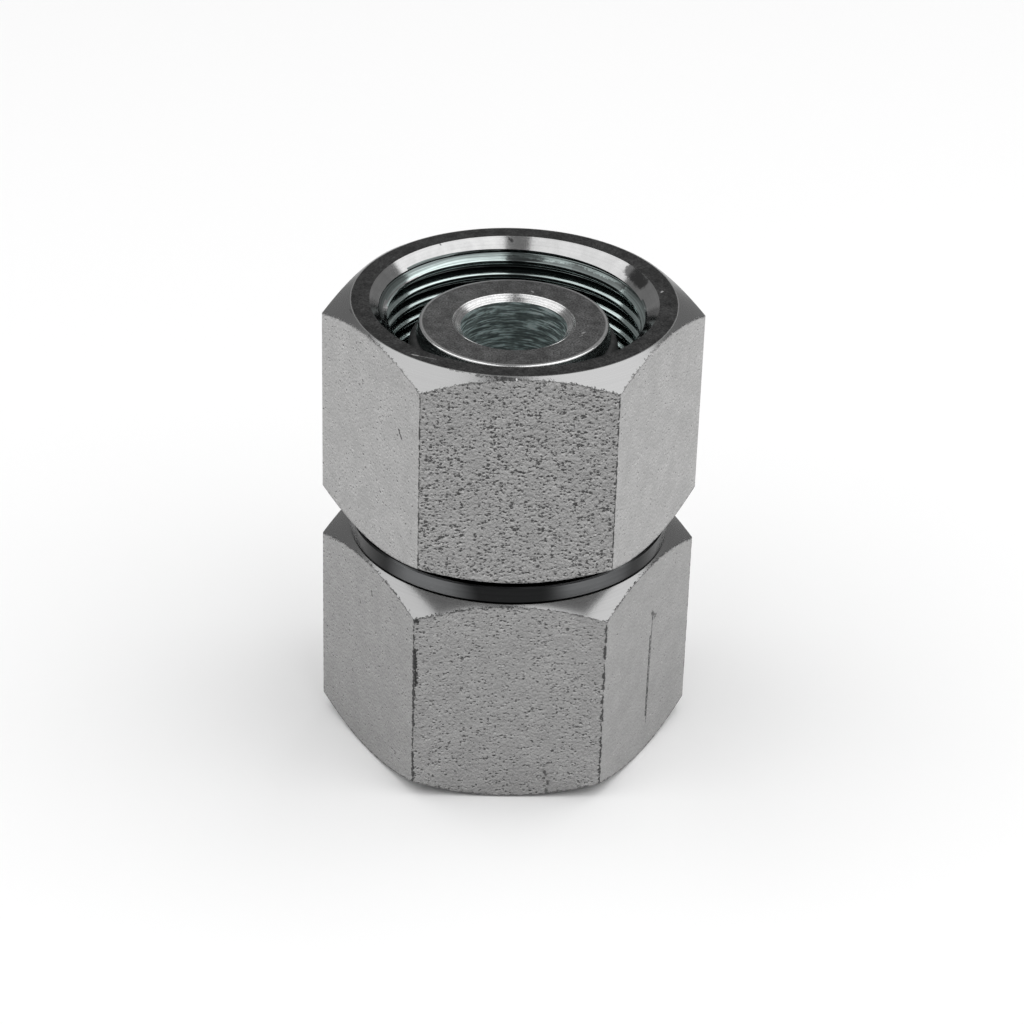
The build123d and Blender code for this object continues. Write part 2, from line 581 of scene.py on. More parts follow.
        # Painted shade: a flat's level falls as its coarseness rises, and each nut's front flat is
        # given the most, so that it reads as less lit.
        shade = recipe.times(shade, recipe.mixed(coarse_and_shade, self.smooth_level, self.coarse_shaded_level))
        zinc = recipe.blend(dark, recipe.shaded(grey(1.0, 0.006), shade), grey(0.035))
        rings = recipe.fade(turning_marks(recipe, 7.0), *ALL, 0.96, 1.03)
        bright = recipe.shaded(grey(self.chamfer_level), rings)
        bright = recipe.blend(recipe.times(hollows_and_reflections, 0.8), bright, grey(0.04))
        colour = recipe.blend(burr, recipe.blend(flat, bright, zinc), grey(0.8))
        roughness = recipe.mixed(flat, self.chamfer_roughness, recipe.fade(
            grain, *ALL, self.flat_roughness - 0.06, self.flat_roughness + 0.06))
        relief = recipe.times(flat, recipe.less(1.0, recipe.most(pit, crack, hollows_and_reflections)))
        normal = recipe.bump(recipe.times(flat, grain), self.grain_depth)
        normal = recipe.bump(relief, self.pit_depth, normal)
        return recipe.surface(colour, roughness, 1.0, normal)


def turning_marks(recipe: Recipe, per_mm: float) -> Socket:
    """Rings left by a lathe tool: noise over radius and height, hardly changing with the angle."""
    drift = recipe.times(recipe.noise(recipe.place, 0.12, 1.0), 0.25)
    rings = recipe.join(recipe.plus(drift, recipe.radius()), recipe.plus(drift, recipe.z), 0.0)
    return recipe.noise(rings, per_mm, 3.0, 0.65)


@dataclass(frozen=True)
class TurnedSteel:
    """Zinc on a turned surface: fine rings, dull patches, edges with wear and a painted highlight,
    and single marks.

    Attributes:
        tint: Its colour, as shares of the level.
        speckle: How much a fine noise spots it.
        worn_highlit_edges: Radii at which a bright broken line shows the plating's wear and a
            painted highlight of the broken edge.
        root: Radii between which it darkens outwards, as painted shade in a thread's roots.
        scars: Single marks.
    """

    level: float
    roughness: float
    rings_per_mm: float = 8.0
    ring_depth: float = 0.006
    ring_contrast: float = 0.12
    tint: tuple[float, float, float] = (1.0, 1.0, 1.0)
    speckle: float = 0.0
    patches: float = 0.07
    worn_highlit_edges: tuple[float, ...] = ()
    worn_highlight_width: float = 0.09
    root: tuple[float, float] | None = None
    scars: tuple[Scar, ...] = ()

    def material(self, name: str) -> Material:
        """Rings set colour and relief; a fine noise speckles it with dull and bright spots."""
        recipe = Recipe(name)
        rings = turning_marks(recipe, self.rings_per_mm)
        grain = recipe.noise(recipe.place, 6.0, 3.0, 0.7)
        patch = recipe.noise(recipe.place, 0.8, 3.0, 0.6)
        hollows_and_reflections, burr = scarred(recipe, self.scars)
        level = recipe.fade(rings, *ALL, 1 - self.ring_contrast, 1 + self.ring_contrast)
        level = recipe.times(level, recipe.fade(grain, *ALL, 1 - self.speckle, 1 + self.speckle))
        level = recipe.times(level, recipe.fade(patch, *MOST, 1 - self.patches, 1 + self.patches))
        # Painted shade: the thread's roots are darkened towards the outside.
        if self.root is not None:
            level = recipe.times(level, recipe.fade(recipe.radius(), *self.root, 1.0, 0.35))
        colour = recipe.shaded(tuple(self.level * share for share in self.tint), level)
        # Painted highlight: a bright broken line along each listed edge, over the plating's wear.
        for edge in self.worn_highlit_edges:
            off = recipe.maths("ABSOLUTE", recipe.less(recipe.radius(), edge))
            torn = recipe.maths("MULTIPLY_ADD", recipe.less(grain, 0.5), 0.25, off)
            worn_highlight = recipe.fade(torn, self.worn_highlight_width, self.worn_highlight_width * 0.4, 0.0, 0.75)
            colour = recipe.blend(worn_highlight, colour, grey(0.62))
        colour = recipe.blend(hollows_and_reflections, colour, grey(0.03))
        colour = recipe.blend(burr, colour, grey(0.75))
        roughness = recipe.fade(grain, *ALL, self.roughness - 0.04, self.roughness + 0.05)
        return recipe.surface(colour, roughness, 1.0, recipe.bump(rings, self.ring_depth))


@dataclass(frozen=True)
class ReflectionPaintedCollar:
    """Turned steel painted dark, as a painted reflection of dark surroundings, and paler at six
    places round it, as painted reflections of brighter ones.

    Attributes:
        drift_shift: How far noise moves the paler painted places, in radians of six turns.
        first_bright_place: Where the first paler painted place is, in the same radians.
    """

    dark_reflection_level: float = 0.016
    bright_reflection_level: float = 0.15
    roughness: float = 0.26
    drift_shift: float = 1.4
    first_bright_place: float = 0.7

    def material(self, name: str) -> Material:
        """The paler painted share is a cosine of six times the angle about the axis, moved by
        noise.
        """
        recipe = Recipe(name)
        rings = turning_marks(recipe, 9.0)
        angle = recipe.maths("ARCTAN2", recipe.y, recipe.x)
        drift = recipe.noise(recipe.place, 0.16, 2.0)
        turn = recipe.maths("MULTIPLY_ADD", angle, 6.0, recipe.times(drift, self.drift_shift))
        wave = recipe.maths("COSINE", recipe.less(turn, self.first_bright_place))
        bright_place = recipe.times(recipe.fade(wave, -0.5, 1.0), recipe.fade(drift, 0.30, 0.62, 0.7, 1.0))
        # Painted reflection: a dark level everywhere, paler at the six places.
        level = recipe.times(recipe.mixed(bright_place, self.dark_reflection_level, self.bright_reflection_level),
                             recipe.fade(rings, *ALL, 0.85, 1.15))
        colour = recipe.shaded(grey(1.0, -0.02), level)
        return recipe.surface(colour, self.roughness, 1.0, recipe.bump(rings, 0.004))


@dataclass(frozen=True)
class StreakedBore:
    """A drilled and reamed wall: dull greenish zinc with streaks and tool grooves round it."""

    level: float = 0.50
    roughness: float = 0.36
    metal: float = 0.75
    groove_depth: float = 0.08
    tint: tuple[float, float, float] = (0.86, 1.0, 0.99)

    def material(self, name: str) -> Material:
        """Streaks are a noise stretched round the bore, so that each is long and narrow."""
        recipe = Recipe(name)
        grooves = turning_marks(recipe, 2.2)
        streaks = recipe.noise(recipe.scaled(recipe.place, (0.40, 0.40, 4.0)), 1.0, 3.0, 0.65)
        patch = recipe.noise(recipe.scaled(recipe.place, (1.0, 1.0, 1.6)), 0.5, 3.0, 0.6)
        level = recipe.times(recipe.fade(streaks, 0.45, 0.64, 0.5, 2.2),
                             recipe.fade(patch, *MIDDLE, 0.7, 1.3))
        colour = recipe.shaded(tuple(self.level * share for share in self.tint), level)
        relief = recipe.maths("MULTIPLY_ADD", grooves, 0.6, recipe.times(streaks, 0.4))
        normal = recipe.bump(relief, self.groove_depth)
        return recipe.surface(colour, self.roughness, self.metal, normal)


@dataclass(frozen=True)
class SealRubber:
    """Matt black nitrile rubber with a trace of dust."""

    level: float = 0.02
    roughness: float = 0.55

    def material(self, name: str) -> Material:
        """Fine noise in relief, and a paler bloom where a coarser noise is high."""
        recipe = Recipe(name)
        grain = recipe.noise(recipe.place, 8.0, 3.0, 0.6)
        bloom = recipe.fade(recipe.noise(recipe.place, 1.2, 3.0, 0.6), 0.5, 0.75)
        colour = recipe.blend(bloom, grey(self.level), grey(self.level * 2.2))
        roughness = recipe.fade(grain, *ALL, self.roughness - 0.08, self.roughness + 0.1)
        return recipe.surface(colour, roughness, 0.0, recipe.bump(grain, 0.01))


class NutZone(IntEnum):
    """Zones of a nut, in the order of its material slots."""

    HEXAGON = 0
    END_FACE = 1
    COUNTERSINK = 2
    THREAD = 3


class NippleZone(IntEnum):
    """Zones of the nipple, in the order of its material slots."""

    NOSE = 0
    BODY = 1
    BORE = 2
    MOUTH = 3
    COLLAR = 4


UPPER_SCARS = (
    Scar((-10.96, -12.92, 39.62), (-10.90, -13.02, 39.35), 0.13, 0.85, 1.5),
    Scar((-10.80, -13.20, 39.20), (-10.75, -13.28, 38.95), 0.14, 0.8, 1.5),
    Scar((-11.12, -12.66, 39.00), (-11.12, -12.66, 38.80), 0.10, 0.6, 1.5),
    Scar((-6.4, -14.45, 46.86), (-3.2, -15.6, 46.78), 0.07, 0.75, 1.6),
    Scar((-3.9, -15.4, 46.80), (0.1, -16.04, 46.72), 0.15, 0.9, 2.0),
    Scar((-2.0, -15.95, 46.66), (-0.6, -16.02, 46.70), 0.13, 0.9, 2.0),
    Scar((-0.24, -15.93, 46.80), (-0.20, -16.10, 46.62), 0.10, -0.9, 0.6),
    Scar((-15.7, -2.4, 46.77), (-13.3, -9.0, 46.72), 0.10, 0.7, 1.8),
)
LOWER_SCARS = (
    Scar((14.26, -7.32, 16.4), (14.11, -7.57, 3.3), 0.07, 0.9, 1.0),
    Scar((14.10, -7.60, 13.6), (14.02, -7.74, 4.2), 0.12, 0.95, 1.4),
    Scar((-9.24, -15.92, 17.1), (-9.10, -15.92, 13.1), 0.17, 0.95, 1.5),
    Scar((-9.20, -15.92, 20.9), (-9.10, -15.92, 20.4), 0.24, 0.95, 1.2),
    Scar((9.36, -16.08, 21.3), (9.26, -16.08, 20.8), 0.22, 0.9, 1.2),
    Scar((3.60, -16.03, 3.2), (3.72, -16.03, 2.8), 0.17, 0.7, 1.8),
    Scar((3.98, -16.04, 1.9), (3.95, -16.04, 1.5), 0.17, 0.7, 1.8),
    Scar((3.86, -16.03, 0.9), (3.95, -16.03, 0.5), 0.2, 0.6, 1.8),
    Scar((14.16, -7.49, 16.3), (14.50, -6.90, 15.5), 0.25, 0.65, 1.8),
    Scar((-13.46, -8.70, 19.2), (-13.40, -8.80, 18.8), 0.14, 0.7, 1.6),
    Scar((-14.66, -6.60, 17.0), (-14.60, -6.70, 16.7), 0.10, 0.6, 1.6),
)
UPPER_NUT_FINISHES = {
    NutZone.HEXAGON: RolledHexagon(scars=UPPER_SCARS),
    NutZone.END_FACE: TurnedSteel(
        level=0.068, roughness=0.38, speckle=1.0, patches=0.35, worn_highlit_edges=(15.72,),
        scars=(Scar((14.20, 1.75, 46.9), (14.32, 2.0, 46.9), 0.12, -0.9),
               Scar((-9.8, -11.6, 46.9), (-9.3, -11.8, 46.9), 0.10, -0.8),
               Scar((-9.3, -11.8, 46.9), (-7.6, -12.5, 46.9), 0.05, -0.5))),
    NutZone.COUNTERSINK: TurnedSteel(
        level=0.40, roughness=0.12, rings_per_mm=4.0, ring_depth=0.004, ring_contrast=0.05,
        # Painted reflection: this wide dark smear on the countersink's right side is a painted dark
        # reflection.
        scars=(Scar((11.55, 7.25, 46.55), (12.65, 4.7, 46.35), 0.80, 0.84, 0.35),
               Scar((12.5, 5.4, 46.9), (12.65, 5.0, 46.85), 0.16, -0.9),
               # Painted reflection: this dark mark at the countersink's back is a painted dark
               # reflection.
               Scar((-0.15, 13.7, 46.7), (0.15, 13.5, 46.5), 0.16, 0.7, 1.2),
               Scar((-7.05, 11.94, 46.87), (-6.95, 11.9, 46.8), 0.09, 0.7))),
    NutZone.THREAD: TurnedSteel(
        level=0.42, roughness=0.11, rings_per_mm=4.5, ring_depth=0.012, ring_contrast=0.6,
        # The thread's roots get painted shade.
        tint=(0.86, 1.0, 0.98), root=(12.35, 12.95),
        scars=(Scar((0.0, 12.5, 45.0), (6.4, 10.7, 45.0), 0.55, 0.7, 0.5),
               Scar((6.4, 10.7, 45.0), (10.6, 6.6, 45.0), 0.55, 0.8, 0.5))),
}
LOWER_NUT_FINISHES = UPPER_NUT_FINISHES | {
    NutZone.HEXAGON: RolledHexagon(smooth_level=0.43, coarse_shaded_level=0.29, chamfer_level=0.30,
                                   crack_width=0.24, edge_line=0.9, scars=LOWER_SCARS),
}
NIPPLE_FINISHES = {
    NippleZone.NOSE: TurnedSteel(
        level=0.16, roughness=0.38, speckle=1.0, patches=0.35, ring_contrast=0.08,
        worn_highlit_edges=(8.98,), worn_highlight_width=0.22,
        scars=(Scar((6.5, -2.3, 44.5), (6.7, -2.1, 44.5), 0.12, -0.6),
               Scar((1.9, 6.5, 44.5), (2.05, 6.3, 44.5), 0.10, -0.8),
               Scar((6.2, -3.0, 44.5), (6.5, -2.7, 44.5), 0.06, -0.5))),
    NippleZone.BODY: TurnedSteel(level=0.30, roughness=0.24, rings_per_mm=4.0,
                                 tint=(0.9, 1.0, 0.98)),
    NippleZone.BORE: StreakedBore(),
    NippleZone.MOUTH: TurnedSteel(level=0.50, roughness=0.16, rings_per_mm=7.0, ring_depth=0.02,
                                  ring_contrast=0.35, speckle=0.25),
    NippleZone.COLLAR: ReflectionPaintedCollar(),
}


def materials(name: str, finishes: dict) -> list[Material]:
    """A piece's materials, in the order of its zones."""
    return [finish.material(f"{name}_{zone.name.lower()}") for zone, finish in finishes.items()]


# The pieces


class Stand(Enum):
    """Which way a nut's open end looks."""

    OPEN_END_UP = 1
    OPEN_END_DOWN = -1


@dataclass
class SwivelNut:
    """A hexagon nut: rolled flats, turned ends, a countersunk thread and a wire groove.

    Its own height is 0 at the back face and nut_height at the end face.
    """

    name: str
    node: str
    body: str
    stand: Stand
    back_face: float
    turn: float
    coarseness_and_shade: tuple[float, ...]
    height: float = 22.25
    across_flats: float = 32.0
    corner_radius: float = 0.3
    end_face_radius: float = 15.75
    chamfer_angle: float = 32.0
    mouth_radius: float = 13.9
    thread_radius: float = 13.0
    minor_radius: float = 12.188
    pitch: float = 1.5
    thread_start: float = 0.52
    half_crest: float = 0.125
    crest_ease: float = 0.028
    flank_middle: float = 0.28
    flank_foot: float = 0.4375
    foot_ease: float = 0.025
    root_ease: float = 0.0375
    depths: tuple[float, ...] = (0, 0, 0.03, 0.0896, 0.92, 0.975, 1, 1)
    relief_radius: float = 13.25
    relief_top: float = 8.1
    back_wall: float = 5.6
    hole_radius: float = 10.6
    hole_break: float = 0.3
    groove_radius: float = 0.95
    groove_centre: tuple[float, float] = (10.45, 2.8)
    flat_columns: int = 56
    corner_columns: int = 8
    flat_rows: int = 16

    def columns(self) -> tuple[np.ndarray, np.ndarray]:
        """Column angles once round, closer together on the six rounded corners.

        Returns:
            The angles from 0 to a full turn, both ends included, starting at a flat's
            middle, and each column's angle from the middle of its own flat.
        """
        reach = self.across_flats / 2
        corner_centre = (reach - self.corner_radius) / math.cos(math.pi / 6)
        tangent = math.atan2(corner_centre * math.sin(math.pi / 6), reach)
        flat = np.linspace(-tangent, tangent, self.flat_columns, endpoint=False)
        corner = np.linspace(tangent, math.pi / 3 - tangent, self.corner_columns, endpoint=False)
        sector = np.concatenate([flat, corner])
        theta = (sector[None, :] + np.arange(6)[:, None] * math.pi / 3 - math.pi / 2).reshape(-1)
        theta = np.append(theta, theta[0] + TURN)
        return theta, (theta + math.pi / 2 + math.pi / 6) % (math.pi / 3) - math.pi / 6

    def hexagon_radius(self, off_flat: np.ndarray) -> np.ndarray:
        """Radius of the bar's outline.

        It is half the width across flats over the cosine of the angle from the flat's
        middle, or on a corner the far side of a small circle about the corner's centre.
        """
        reach = self.across_flats / 2
        distance = (reach - self.corner_radius) / math.cos(math.pi / 6)
        tangent = math.atan2(distance * math.sin(math.pi / 6), reach)
        off_corner = math.pi / 6 - np.abs(off_flat)
        inside = np.maximum(self.corner_radius**2 - (distance * np.sin(off_corner))**2, 0)
        rounded = distance * np.cos(off_corner) + np.sqrt(inside)
        return np.where(np.abs(off_flat) <= tangent, reach / np.cos(off_flat), rounded)

    def thread_rows(self, theta: np.ndarray, top: float) -> tuple[np.ndarray, np.ndarray]:
        """Rows that climb with the thread: height is a row's start plus pitch times turns.

        The radius is the greater of the countersink's cone and the thread's outline, a
        flat crest, two flanks and a flat root, its corners eased. Shares of the pitch are
        counted from a crest's middle.

        Args:
            theta: The column angles.
            top: The height at which the rows end.

        Returns:
            Radii and heights from the top down.
        """
        crest, foot, root = self.half_crest, self.flank_foot, 0.5
        known = [0, crest - self.crest_ease, crest, crest + self.crest_ease,
                 foot - self.foot_ease, foot, root - self.root_ease, root]
        share = np.insert(known, 4, self.flank_middle)
        depth = np.interp(share, known, self.depths)
        stops = np.concatenate([share, 1 - share[-2:0:-1]])
        turns = math.ceil((top - self.relief_top) / self.pitch) + 2
        starts = (stops[None, :] + np.arange(-2, turns)[:, None]).reshape(-1)[::-1]
        wound = (theta - theta[0])[None, :] / TURN - self.thread_start
        heights = self.relief_top + self.pitch * (starts[:, None] + wound)
        heights = np.clip(heights, self.relief_top, top)
        phase = (heights - self.relief_top) / self.pitch - wound
        off_crest = np.abs((phase + 0.5) % 1 - 0.5)
        full_depth = self.thread_radius - self.minor_radius
        cut = self.minor_radius + full_depth * np.interp(off_crest, share, depth)
        return np.maximum(cut, self.cone_radius(heights)), heights

    def cone_radius(self, heights: np.ndarray) -> np.ndarray:
        """Radius of the countersink's cone of 45 degrees at a height."""
        return self.mouth_radius - (self.height - heights)

    def skin(self) -> Skin:
        """Works out the whole nut as one closed surface.

        Returns:
            The surface with its zones, and three values per point: reach, the height
            between a point and the nearer chamfer's edge, corner, its distance from the
            nearest corner line, and coarse_and_shade, how pitted its flat is, which also
            sets the flat's painted shade.
        """
        theta, off_flat = self.columns()
        bar = self.hexagon_radius(off_flat)
        rise = (bar - self.end_face_radius) * math.tan(math.radians(self.chamfer_angle))
        end, top, zone = self.end_face_radius, self.height, NutZone
        thread_top = self.height - (self.mouth_radius - self.thread_radius) + 0.1
        thread_radii, thread_heights = self.thread_rows(theta, thread_top)
        hole, back, relief = self.hole_radius, self.back_wall, self.relief_radius
        groove_out = hole - self.groove_centre[0]
        groove_half = math.sqrt(self.groove_radius**2 - groove_out**2)
        groove_angle = math.degrees(math.atan2(groove_half, groove_out))
        outline = Profile(theta)
        outline.through([
            (hole + self.hole_break, 0, zone.END_FACE, 6),
            (end, 0, zone.HEXAGON, 4),
            (bar, rise, zone.HEXAGON, self.flat_rows),
            (bar, top - rise, zone.HEXAGON, 4),
            (end, top, zone.END_FACE, 4),
            (self.mouth_radius, top, zone.COUNTERSINK, 6),
            (self.cone_radius(thread_top), thread_top),
        ])
        outline.rows(thread_radii, thread_heights, zone.THREAD)
        outline.through([
            (thread_radii[-1], self.relief_top, zone.THREAD, 1),
            (relief, self.relief_top, zone.THREAD, 3),
            (relief, back, zone.THREAD, 3),
            (hole, back, zone.THREAD, 2),
            (hole, self.groove_centre[1] + groove_half),
        ])
        outline.arc(self.groove_centre, self.groove_radius, groove_angle, -groove_angle,
                    zone.THREAD, 8)
        outline.through([
            (hole, self.groove_centre[1] - groove_half, zone.THREAD, 2),
            (hole, self.hole_break, zone.THREAD, 1),
            (hole + self.hole_break, 0),
        ])
        radii, heights, zones = outline.points()
        on_cone = np.isclose(radii, self.cone_radius(heights), atol=ON_CONE)
        on_cone = on_cone & np.roll(on_cone, -1, 0)
        on_cone = on_cone & np.roll(on_cone, -1, 1)
        zones = np.where(on_cone, int(zone.COUNTERSINK), zones[:, None])
        reach = np.minimum(heights, self.height - heights) - rise
        flats = np.array(self.coarseness_and_shade)
        flat = np.rint((theta + math.pi / 2 - off_flat) / (math.pi / 3)).astype(int) % 6
        corner = (math.pi / 6 - np.abs(off_flat)) * bar
        place = turn_about_axis(radii, heights, theta)
        return Skin(self.placed(place), zones, {
            "reach": reach,
            "corner": np.broadcast_to(corner, radii.shape),
            "coarse_and_shade": np.broadcast_to(flats[flat], radii.shape),
        })

    def placed(self, points: np.ndarray) -> np.ndarray:
        """Stands the nut in the fitting: turned over about X if its open end looks down."""
        way = self.stand.value
        a = math.radians(self.turn)
        cosine, sine = math.cos(a), math.sin(a)
        x, y, z = points[..., 0], points[..., 1] * way, points[..., 2] * way + self.back_face
        return np.stack([x * cosine - y * sine, x * sine + y * cosine, z], axis=-1)

    def build(self, finishes: list[Material]) -> bpy.types.Object:
        """Makes the nut, dresses it and lets it ride on its body.

        Args:
            finishes: Its materials, in the order of its zones.

        Returns:
            The nut.
        """
        mesh = self.skin().mesh(self.name, close_columns=False)
        return piece(self.name, mesh, finishes, self.body, self.node)


@dataclass
class TurnedNipple:
    """The nipple: two coned noses, two necks and the collar between them."""

    name: str = "turned_nipple"
    node: str = "nipple"
    body: str = "nipple"
    middle: float = 23.25
    half_length: float = 21.25
    bore_radius: float = 5.15
    mouth_radius: float = 5.95
    mouth_depth: float = 0.5
    mouth_step: float = 0.32
    nose_radius: float = 9.15
    nose_edge: float = 0.2
    cone_angle: float = 12.0
    neck_radius: float = 10.5
    seal_floor: float = 8.15
    seal_groove: tuple[float, float] = (1.3, 3.7)
    wire_floor: float = 8.75
    wire_groove: tuple[float, float] = (2.85, 5.15)
    collar_radius: float = 15.75
    half_collar: float = 0.9
    collar_break: float = 0.15
    columns: int = 360

    def cone_radius(self, behind: float) -> float:
        """Radius of the sealing cone at a distance behind the nose."""
        return self.nose_radius + behind * math.tan(math.radians(self.cone_angle))

    def half_outline(self) -> list[tuple[float, float, int, int]]:
        """Stops of the upper half: radius, height from the middle, zone after it, and steps."""
        top, zone = self.half_length, NippleZone
        low, high = self.wire_groove
        near, far = self.seal_groove
        step = self.mouth_step
        cone = (self.neck_radius - self.nose_radius) / math.tan(math.radians(self.cone_angle))
        lean = math.radians(90 + self.cone_angle) / 2
        set_back = self.nose_edge * math.tan(math.pi / 2 - lean)
        centre = (self.nose_radius - set_back, top - self.nose_edge)
        edge = [(centre[0] + self.nose_edge * math.cos(a), centre[1] + self.nose_edge * math.sin(a),
                 zone.MOUTH, 1)
                for a in np.radians(np.linspace(90, self.cone_angle, 7))]
        return [
            (self.bore_radius, 0, zone.BORE, 20),
            (self.bore_radius, top - self.mouth_depth, zone.MOUTH, 3),
            (self.mouth_radius - step, top - step * 0.6, zone.MOUTH, 1),
            (self.mouth_radius - step * 0.8, top - step * 0.85, zone.MOUTH, 1),
            (self.mouth_radius, top, zone.NOSE, 5),
            *edge,
            (self.cone_radius(near), top - near, zone.BODY, 1),
            (self.seal_floor, top - near, zone.BODY, 2),
            (self.seal_floor, top - far, zone.BODY, 1),
            (self.cone_radius(far), top - far, zone.BODY, 3),
            (self.neck_radius, top - cone, zone.BODY, 6),
            (self.neck_radius, high, zone.BODY, 1),
            (self.wire_floor, high, zone.BODY, 2),
            (self.wire_floor, low, zone.BODY, 1),
            (self.neck_radius, low, zone.BODY, 2),
            (self.neck_radius, self.half_collar, zone.COLLAR, 4),
            (self.collar_radius - self.collar_break, self.half_collar, zone.COLLAR, 1),
            (self.collar_radius, self.half_collar - self.collar_break, zone.COLLAR, 3),
        ]

    def skin(self) -> Skin:
        """Turns the outline, and its mirror image below the collar, about the axis."""
        upper = self.half_outline()
        lower = [(stop[0], -stop[1], *upper[i - 1][2:]) for i, stop in enumerate(upper)]
        outline = Profile(np.linspace(0, TURN, self.columns, endpoint=False))
        outline.through(upper + lower[:0:-1] + upper[:1])
        radii, heights, zones = outline.points()
        return Skin(turn_about_axis(radii, heights + self.middle, outline.theta), zones)

    def build(self, finishes: list[Material]) -> bpy.types.Object:
        """Makes the nipple and dresses it.

        Args:
            finishes: Its materials, in the order of its zones.

        Returns:
            The nipple.
        """
        mesh = self.skin().mesh(self.name, close_columns=True)
        return piece(self.name, mesh, finishes, self.body, self.node)


@dataclass
class SealRing:
    """An O-ring in the cone's groove."""

    name: str
    node: str
    middle: float
    radius: float = 9.15
    section: float = 0.98
    body: str = "nipple"

    def build(self, finishes: list[Material]) -> bpy.types.Object:
        """Makes the ring: a circle of the section's radius carried round the axis."""
        theta = np.linspace(0, TURN, 192, endpoint=False)
        outline = Profile(theta)
        outline.arc((self.radius, self.middle), self.section, 0, 360, 0, 32)
        radii, heights, zones = outline.points()
        skin = Skin(turn_about_axis(radii, heights, theta), zones)
        mesh = skin.mesh(self.name, close_columns=True)
        return piece(self.name, mesh, finishes, self.body, self.node)


@dataclass
class WireRing:
    """A split ring of round wire, its gap at the back and its ends cut square."""

    name: str
    node: str
    middle: float
    radius: float = 10.45
    wire: float = 0.9
    gap: float = 5.5
    end_break: float = 0.15
    body: str = "nipple"

    def build(self, finishes: list[Material]) -> bpy.types.Object:
        """Makes the ring: the wire's circle carried round, shrinking to a point at each end."""
        half_gap = self.gap / self.radius / 2
        start = math.pi / 2 + half_gap
        run = np.linspace(start, start + TURN - 2 * half_gap, 181)
        ease = self.end_break / self.radius
        first, last = run[0], run[-1]
        along = np.array([first, first, first + ease, *run[1:-1], last - ease, last, last])
        thick = np.ones_like(along) * self.wire
        thick[[0, -1]] = 0
        thick[[1, -2]] = self.wire - self.end_break
        outline = Profile(along)
        round_the_wire = np.linspace(0, TURN, 24, endpoint=False)[:, None]
        outline.rows(self.radius + thick * np.cos(round_the_wire),
                     self.middle + thick * np.sin(round_the_wire), 0)
        radii, heights, zones = outline.points()
        skin = Skin(turn_about_axis(radii, heights, along), zones)
        mesh = skin.mesh(self.name, close_columns=False)
        return piece(self.name, mesh, finishes, self.body, self.node)


def put_in_scene(name: str, data: bpy.types.ID) -> bpy.types.Object:
    """Makes an object of a mesh, lamp or camera and puts it in the scene."""
    made = bpy.data.objects.new(name, data)
    bpy.context.scene.collection.objects.link(made)
    return made


def piece(name: str, mesh: bpy.types.Mesh, finishes: list[Material], body: str,
          node: str) -> bpy.types.Object:
    """Makes an object of a mesh at the origin, dresses it and reports it.

    Args:
        name: The object's name.
        mesh: Its mesh, in place.
        finishes: Its materials, in the order of the mesh's material indices.
        body: The body that it rides on.
        node: The node of the model that it replaces.

    Returns:
        The object.
    """
    made = put_in_scene(name, mesh)
    for finish in finishes:
        mesh.materials.append(finish)
    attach(made, body)
    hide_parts(node)
    triangles = sum(len(face.vertices) - 2 for face in mesh.polygons)
    log.info("%s: %d triangles", name, triangles)
    return made


# The studio


@dataclass
class PhotoCamera:
    """The camera as fitted to the photograph, its angles in degrees."""

    aim_height: float = 23.467
    distance: float = 324.6
    heading: float = -2.30
    elevation: float = 30.446
    pan: float = 0.0624
    tilt: float = -0.0330
    roll: float = 1.661
    lens: float = 114.84
    sensor_width: float = 36.0
    nearest: float = 0.01

    def build(self) -> bpy.types.Object:
        """Makes the camera: it stands back along the line of sight, then pans, tilts and rolls."""
        heading, elevation = math.radians(self.heading), math.radians(self.elevation)
        pan, tilt, roll = (math.radians(a) for a in (self.pan, self.tilt, self.roll))
        back = Vector((0, -math.cos(elevation), math.sin(elevation)))
        right, ahead = Vector((1, 0, 0)), -back
        up = right.cross(ahead)
        ahead, right = (ahead * math.cos(pan) + right * math.sin(pan),
                        right * math.cos(pan) - ahead * math.sin(pan))
        ahead, up = (ahead * math.cos(tilt) + up * math.sin(tilt),
                     up * math.cos(tilt) - ahead * math.sin(tilt))
        right, up = (right * math.cos(roll) + up * math.sin(roll),
                     up * math.cos(roll) - right * math.sin(roll))
        axes = Matrix((right, up, -ahead)).transposed().to_4x4()
        settings = bpy.data.cameras.new("photo_camera")
        settings.lens = self.lens
        settings.sensor_width = self.sensor_width
        settings.clip_start = self.nearest
        camera = put_in_scene("photo_camera", settings)
        stand = Matrix.Translation(back * self.distance * MM) @ axes
        camera.matrix_world = (Matrix.Translation((0, 0, self.aim_height * MM))
                               @ Matrix.Rotation(heading, 4, "Z") @ stand)
        bpy.context.scene.camera = camera
        return camera


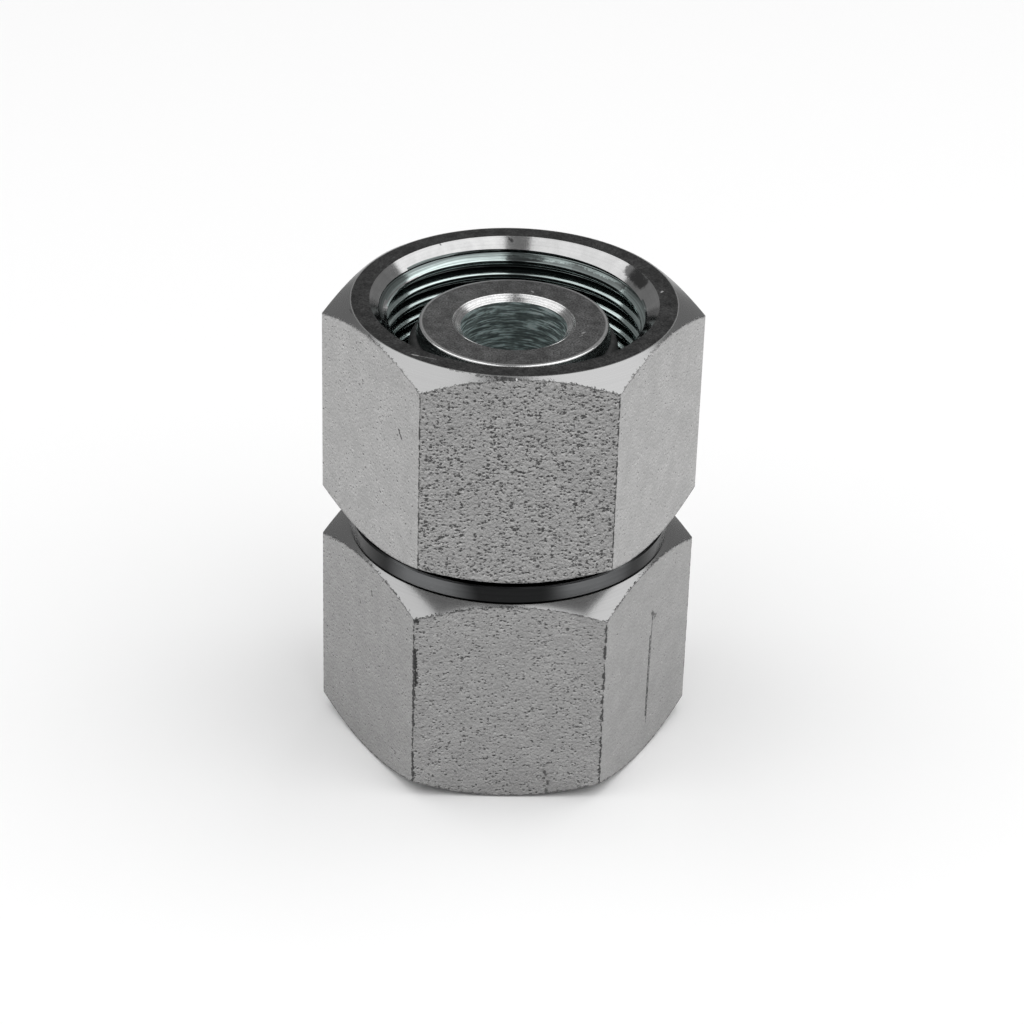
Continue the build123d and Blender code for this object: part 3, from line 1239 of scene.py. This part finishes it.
@dataclass
class Studio:
    """A pale floor, two wide soft boxes overhead with a narrow gap, and dim surroundings."""

    floor_level: float = 0.95
    floor_size: float = 8.0
    floor_roughness: float = 0.9
    surround: float = 0.30
    box_height: float = 0.75
    left_box: tuple[float, float] = (-1.35, -0.12)
    right_box: tuple[float, float] = (0.07, 1.35)
    box_depth: tuple[float, float] = (-0.85, 0.55)
    left_glow: float = 1.40
    right_glow: float = 1.60

    def build(self) -> None:
        """Makes the floor, the lamps and the world."""
        recipe = Recipe("floor_paint")
        cloud = recipe.noise(recipe.place, 0.01)
        colour = recipe.blend(cloud, grey(self.floor_level - 0.01), grey(self.floor_level))
        paint = recipe.surface(colour, self.floor_roughness, 0.0)
        half = self.floor_size / 2
        mesh = bpy.data.meshes.new("floor")
        mesh.from_pydata([(-half, -half, 0), (half, -half, 0), (half, half, 0), (-half, half, 0)],
                         [], [(0, 1, 2, 3)])
        mesh.materials.append(paint)
        put_in_scene("floor", mesh)
        self.soft_box("left_soft_box", self.left_box, self.left_glow)
        self.soft_box("right_soft_box", self.right_box, self.right_glow)
        world = bpy.data.worlds.new("surroundings")
        world.use_nodes = True
        world.node_tree.nodes["Background"].inputs["Color"].default_value = grey(self.surround)
        bpy.context.scene.world = world
        bpy.context.scene.view_settings.view_transform = "Standard"

    def soft_box(self, name: str, span: tuple[float, float], glow: float) -> None:
        """Hangs one lamp facing down.

        Args:
            name: The lamp's name.
            span: Its left and right edges, in metres.
            glow: How bright its face is, where 1 is white.
        """
        width, depth = span[1] - span[0], self.box_depth[1] - self.box_depth[0]
        lamp = bpy.data.lights.new(name, "AREA")
        lamp.shape = "RECTANGLE"
        lamp.size, lamp.size_y = width, depth
        lamp.energy = glow * math.pi * width * depth
        middle = (sum(span) / 2, sum(self.box_depth) / 2, self.box_height)
        put_in_scene(name, lamp).location = middle


def main() -> None:
    """Builds the camera, the studio and the fitting's seven pieces."""
    PhotoCamera().build()
    Studio().build()
    upper_finishes = materials("upper_nut", UPPER_NUT_FINISHES)
    lower_finishes = materials("lower_nut", LOWER_NUT_FINISHES)
    nipple_finishes = materials("nipple", NIPPLE_FINISHES)
    rubber = [SealRubber().material("seal_rubber")]
    wire = [TurnedSteel(level=0.30, roughness=0.30).material("spring_wire")]
    # Each flat's coarseness also sets its painted shade; each nut's front flat has the most.
    SwivelNut("upper_swivel_nut", "upper_nut", "upper_nut", Stand.OPEN_END_UP, back_face=24.65,
              turn=0.5, coarseness_and_shade=(1.0, 0.22, 0.4, 0.5, 0.4, 0.3)).build(upper_finishes)
    SwivelNut("lower_swivel_nut", "lower_nut", "lower_nut", Stand.OPEN_END_DOWN, back_face=22.25,
              turn=-0.5, coarseness_and_shade=(0.5, 0.4, 0.15, 0.6, 0.35, 0.35)).build(lower_finishes)
    TurnedNipple().build(nipple_finishes)
    SealRing("upper_seal", "upper_o_ring", 42.0).build(rubber)
    SealRing("lower_seal", "lower_o_ring", 4.5).build(rubber)
    WireRing("upper_wire_ring", "upper_retaining_ring", 27.45).build(wire)
    WireRing("lower_wire_ring", "lower_retaining_ring", 19.45).build(wire)


if __name__ == "__main__":
    main()
